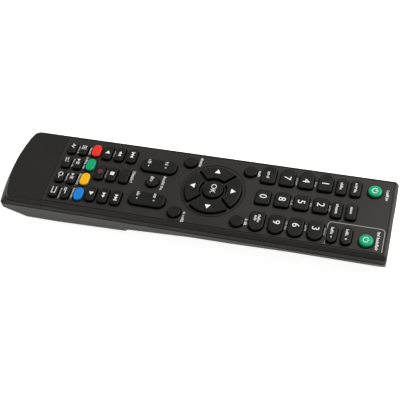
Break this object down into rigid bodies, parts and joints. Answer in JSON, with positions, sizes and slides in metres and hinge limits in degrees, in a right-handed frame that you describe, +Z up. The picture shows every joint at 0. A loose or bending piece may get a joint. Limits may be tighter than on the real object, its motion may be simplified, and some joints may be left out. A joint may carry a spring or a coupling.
{
  "type": "television remote control",
  "caption": "Slim handheld infrared remote control with a flat dark key panel, ring of direction keys, rocker keys and a slide-off battery cover.",
  "frame": {"origin": "middle of the footprint, on the surface that the remote lies on", "axes": "+Y along the remote towards the infrared end, +X to the right-hand side seen from above, +Z up out of the keys"},
  "size_m": [0.05, 0.215, 0.0208],
  "materials": {
    "panel_plastic": "fine satin texture",
    "end_plastic": "fine satin texture",
    "case_plastic": "fine spark texture",
    "window_plastic": "polished",
    "mat_rubber": "matt",
    "board_laminate": "satin",
    "component_plastic": "satin",
    "contact_steel": "nickel plated",
    "screw_steel": "zinc plated",
    "cell_jacket": "glossy sleeve",
    "key_dark": "satin",
    "power_green": "gloss",
    "key_red": "gloss",
    "key_green": "gloss",
    "key_yellow": "gloss",
    "key_blue": "gloss"
  },
  "bodies": {
    "case": {"batteries": "cell_jacket", "battery_contacts": "contact_steel", "board_components": "component_plastic", "board_screws": "screw_steel", "circuit_board": "board_laminate", "end_panel": "end_plastic", "ir_window": "window_plastic", "keypad_mat": "mat_rubber", "lower_case": "case_plastic", "upper_case": "panel_plastic"},
    "cover": {"battery_cover": "case_plastic"},
    "blue_key_body": {"blue_key": "key_blue"},
    "digit_0_key_body": {"digit_0_key": "key_dark"},
    "digit_1_key_body": {"digit_1_key": "key_dark"},
    "digit_2_key_body": {"digit_2_key": "key_dark"},
    "digit_3_key_body": {"digit_3_key": "key_dark"},
    "digit_4_key_body": {"digit_4_key": "key_dark"},
    "digit_5_key_body": {"digit_5_key": "key_dark"},
    "digit_6_key_body": {"digit_6_key": "key_dark"},
    "digit_7_key_body": {"digit_7_key": "key_dark"},
    "digit_8_key_body": {"digit_8_key": "key_dark"},
    "digit_9_key_body": {"digit_9_key": "key_dark"},
    "disc_key_body": {"disc_key": "key_dark"},
    "down_key_body": {"down_key": "key_dark"},
    "exit_key_body": {"exit_key": "key_dark"},
    "forward_key_body": {"forward_key": "key_dark"},
    "function_key_body": {"function_key": "key_dark"},
    "green_key_body": {"green_key": "key_green"},
    "guide_key_body": {"guide_key": "key_dark"},
    "index_key_pair_body": {"index_key_pair": "key_dark"},
    "info_key_body": {"info_key": "key_dark"},
    "left_key_body": {"left_key": "key_dark"},
    "menu_key_body": {"menu_key": "key_dark"},
    "next_key_body": {"next_key": "key_dark"},
    "ok_key_body": {"ok_key": "key_dark"},
    "picture_key_body": {"picture_key": "key_dark"},
    "play_key_body": {"play_key": "key_dark"},
    "power_key_body": {"power_key": "power_green"},
    "previous_key_body": {"previous_key": "key_dark"},
    "radio_key_body": {"radio_key": "key_dark"},
    "recall_key_body": {"recall_key": "key_dark"},
    "record_key_body": {"record_key": "key_dark"},
    "red_key_body": {"red_key": "key_red"},
    "reverse_key_body": {"reverse_key": "key_dark"},
    "rewind_key_body": {"rewind_key": "key_dark"},
    "right_key_body": {"right_key": "key_dark"},
    "screen_key_body": {"screen_key": "key_dark"},
    "second_power_key_body": {"second_power_key": "power_green"},
    "second_volume_down_key_body": {"second_volume_down_key": "key_dark"},
    "second_volume_up_key_body": {"second_volume_up_key": "key_dark"},
    "size_key_pair_body": {"size_key_pair": "key_dark"},
    "sound_key_body": {"sound_key": "key_dark"},
    "source_key_body": {"source_key": "key_dark"},
    "stop_key_body": {"stop_key": "key_dark"},
    "subtitle_key_pair_body": {"subtitle_key_pair": "key_dark"},
    "text_key_pair_body": {"text_key_pair": "key_dark"},
    "up_key_body": {"up_key": "key_dark"},
    "yellow_key_body": {"yellow_key": "key_yellow"},
    "volume_rocker_body": {"volume_rocker": "key_dark"},
    "channel_rocker_body": {"channel_rocker": "key_dark"}
  },
  "joints": [
    {"name": "cover_slide", "type": "slide", "parent": "case", "child": "cover", "axis": [0, -1, 0], "range_m": [0, 0.062]},
    {"name": "blue_key_press", "type": "slide", "parent": "case", "child": "blue_key_body", "axis": [0, 0, -1], "range_m": [0, 0.0008], "stiffness_N_per_m": 1000},
    {"name": "digit_0_key_press", "type": "slide", "parent": "case", "child": "digit_0_key_body", "axis": [0, 0, -1], "range_m": [0, 0.0008], "stiffness_N_per_m": 1000},
    {"name": "digit_1_key_press", "type": "slide", "parent": "case", "child": "digit_1_key_body", "axis": [0, 0, -1], "range_m": [0, 0.0008], "stiffness_N_per_m": 1000},
    {"name": "digit_2_key_press", "type": "slide", "parent": "case", "child": "digit_2_key_body", "axis": [0, 0, -1], "range_m": [0, 0.0008], "stiffness_N_per_m": 1000},
    {"name": "digit_3_key_press", "type": "slide", "parent": "case", "child": "digit_3_key_body", "axis": [0, 0, -1], "range_m": [0, 0.0008], "stiffness_N_per_m": 1000},
    {"name": "digit_4_key_press", "type": "slide", "parent": "case", "child": "digit_4_key_body", "axis": [0, 0, -1], "range_m": [0, 0.0008], "stiffness_N_per_m": 1000},
    {"name": "digit_5_key_press", "type": "slide", "parent": "case", "child": "digit_5_key_body", "axis": [0, 0, -1], "range_m": [0, 0.0008], "stiffness_N_per_m": 1000},
    {"name": "digit_6_key_press", "type": "slide", "parent": "case", "child": "digit_6_key_body", "axis": [0, 0, -1], "range_m": [0, 0.0008], "stiffness_N_per_m": 1000},
    {"name": "digit_7_key_press", "type": "slide", "parent": "case", "child": "digit_7_key_body", "axis": [0, 0, -1], "range_m": [0, 0.0008], "stiffness_N_per_m": 1000},
    {"name": "digit_8_key_press", "type": "slide", "parent": "case", "child": "digit_8_key_body", "axis": [0, 0, -1], "range_m": [0, 0.0008], "stiffness_N_per_m": 1000},
    {"name": "digit_9_key_press", "type": "slide", "parent": "case", "child": "digit_9_key_body", "axis": [0, 0, -1], "range_m": [0, 0.0008], "stiffness_N_per_m": 1000},
    {"name": "disc_key_press", "type": "slide", "parent": "case", "child": "disc_key_body", "axis": [0, 0, -1], "range_m": [0, 0.0008], "stiffness_N_per_m": 1000},
    {"name": "down_key_press", "type": "slide", "parent": "case", "child": "down_key_body", "axis": [0, 0, -1], "range_m": [0, 0.0008], "stiffness_N_per_m": 1000},
    {"name": "exit_key_press", "type": "slide", "parent": "case", "child": "exit_key_body", "axis": [0, 0, -1], "range_m": [0, 0.0008], "stiffness_N_per_m": 1000},
    {"name": "forward_key_press", "type": "slide", "parent": "case", "child": "forward_key_body", "axis": [0, 0, -1], "range_m": [0, 0.0008], "stiffness_N_per_m": 1000},
    {"name": "function_key_press", "type": "slide", "parent": "case", "child": "function_key_body", "axis": [0, 0, -1], "range_m": [0, 0.0008], "stiffness_N_per_m": 1000},
    {"name": "green_key_press", "type": "slide", "parent": "case", "child": "green_key_body", "axis": [0, 0, -1], "range_m": [0, 0.0008], "stiffness_N_per_m": 1000},
    {"name": "guide_key_press", "type": "slide", "parent": "case", "child": "guide_key_body", "axis": [0, 0, -1], "range_m": [0, 0.0008], "stiffness_N_per_m": 1000},
    {"name": "index_key_pair_press", "type": "slide", "parent": "case", "child": "index_key_pair_body", "axis": [0, 0, -1], "range_m": [0, 0.0008], "stiffness_N_per_m": 1000},
    {"name": "info_key_press", "type": "slide", "parent": "case", "child": "info_key_body", "axis": [0, 0, -1], "range_m": [0, 0.0008], "stiffness_N_per_m": 1000},
    {"name": "left_key_press", "type": "slide", "parent": "case", "child": "left_key_body", "axis": [0, 0, -1], "range_m": [0, 0.0008], "stiffness_N_per_m": 1000},
    {"name": "menu_key_press", "type": "slide", "parent": "case", "child": "menu_key_body", "axis": [0, 0, -1], "range_m": [0, 0.0008], "stiffness_N_per_m": 1000},
    {"name": "next_key_press", "type": "slide", "parent": "case", "child": "next_key_body", "axis": [0, 0, -1], "range_m": [0, 0.0008], "stiffness_N_per_m": 1000},
    {"name": "ok_key_press", "type": "slide", "parent": "case", "child": "ok_key_body", "axis": [0, 0, -1], "range_m": [0, 0.0008], "stiffness_N_per_m": 1000},
    {"name": "picture_key_press", "type": "slide", "parent": "case", "child": "picture_key_body", "axis": [0, 0, -1], "range_m": [0, 0.0008], "stiffness_N_per_m": 1000},
    {"name": "play_key_press", "type": "slide", "parent": "case", "child": "play_key_body", "axis": [0, 0, -1], "range_m": [0, 0.0008], "stiffness_N_per_m": 1000},
    {"name": "power_key_press", "type": "slide", "parent": "case", "child": "power_key_body", "axis": [0, 0, -1], "range_m": [0, 0.0008], "stiffness_N_per_m": 1000},
    {"name": "previous_key_press", "type": "slide", "parent": "case", "child": "previous_key_body", "axis": [0, 0, -1], "range_m": [0, 0.0008], "stiffness_N_per_m": 1000},
    {"name": "radio_key_press", "type": "slide", "parent": "case", "child": "radio_key_body", "axis": [0, 0, -1], "range_m": [0, 0.0008], "stiffness_N_per_m": 1000},
    {"name": "recall_key_press", "type": "slide", "parent": "case", "child": "recall_key_body", "axis": [0, 0, -1], "range_m": [0, 0.0008], "stiffness_N_per_m": 1000},
    {"name": "record_key_press", "type": "slide", "parent": "case", "child": "record_key_body", "axis": [0, 0, -1], "range_m": [0, 0.0008], "stiffness_N_per_m": 1000},
    {"name": "red_key_press", "type": "slide", "parent": "case", "child": "red_key_body", "axis": [0, 0, -1], "range_m": [0, 0.0008], "stiffness_N_per_m": 1000},
    {"name": "reverse_key_press", "type": "slide", "parent": "case", "child": "reverse_key_body", "axis": [0, 0, -1], "range_m": [0, 0.0008], "stiffness_N_per_m": 1000},
    {"name": "rewind_key_press", "type": "slide", "parent": "case", "child": "rewind_key_body", "axis": [0, 0, -1], "range_m": [0, 0.0008], "stiffness_N_per_m": 1000},
    {"name": "right_key_press", "type": "slide", "parent": "case", "child": "right_key_body", "axis": [0, 0, -1], "range_m": [0, 0.0008], "stiffness_N_per_m": 1000},
    {"name": "screen_key_press", "type": "slide", "parent": "case", "child": "screen_key_body", "axis": [0, 0, -1], "range_m": [0, 0.0008], "stiffness_N_per_m": 1000},
    {"name": "second_power_key_press", "type": "slide", "parent": "case", "child": "second_power_key_body", "axis": [0, 0, -1], "range_m": [0, 0.0008], "stiffness_N_per_m": 1000},
    {"name": "second_volume_down_key_press", "type": "slide", "parent": "case", "child": "second_volume_down_key_body", "axis": [0, 0, -1], "range_m": [0, 0.0008], "stiffness_N_per_m": 1000},
    {"name": "second_volume_up_key_press", "type": "slide", "parent": "case", "child": "second_volume_up_key_body", "axis": [0, 0, -1], "range_m": [0, 0.0008], "stiffness_N_per_m": 1000},
    {"name": "size_key_pair_press", "type": "slide", "parent": "case", "child": "size_key_pair_body", "axis": [0, 0, -1], "range_m": [0, 0.0008], "stiffness_N_per_m": 1000},
    {"name": "sound_key_press", "type": "slide", "parent": "case", "child": "sound_key_body", "axis": [0, 0, -1], "range_m": [0, 0.0008], "stiffness_N_per_m": 1000},
    {"name": "source_key_press", "type": "slide", "parent": "case", "child": "source_key_body", "axis": [0, 0, -1], "range_m": [0, 0.0008], "stiffness_N_per_m": 1000},
    {"name": "stop_key_press", "type": "slide", "parent": "case", "child": "stop_key_body", "axis": [0, 0, -1], "range_m": [0, 0.0008], "stiffness_N_per_m": 1000},
    {"name": "subtitle_key_pair_press", "type": "slide", "parent": "case", "child": "subtitle_key_pair_body", "axis": [0, 0, -1], "range_m": [0, 0.0008], "stiffness_N_per_m": 1000},
    {"name": "text_key_pair_press", "type": "slide", "parent": "case", "child": "text_key_pair_body", "axis": [0, 0, -1], "range_m": [0, 0.0008], "stiffness_N_per_m": 1000},
    {"name": "up_key_press", "type": "slide", "parent": "case", "child": "up_key_body", "axis": [0, 0, -1], "range_m": [0, 0.0008], "stiffness_N_per_m": 1000},
    {"name": "yellow_key_press", "type": "slide", "parent": "case", "child": "yellow_key_body", "axis": [0, 0, -1], "range_m": [0, 0.0008], "stiffness_N_per_m": 1000},
    {"name": "volume_rocker_tilt", "type": "hinge", "parent": "case", "child": "volume_rocker_body", "pos_m": [-0.0104, -0.02135, 0.0153], "axis": [1, 0, 0], "range_deg": [-3.2, 3.2], "stiffness_Nm_per_rad": 0.16},
    {"name": "channel_rocker_tilt", "type": "hinge", "parent": "case", "child": "channel_rocker_body", "pos_m": [0.0127, -0.02135, 0.0153], "axis": [1, 0, 0], "range_deg": [-3.2, 3.2], "stiffness_Nm_per_rad": 0.16}
  ]
}
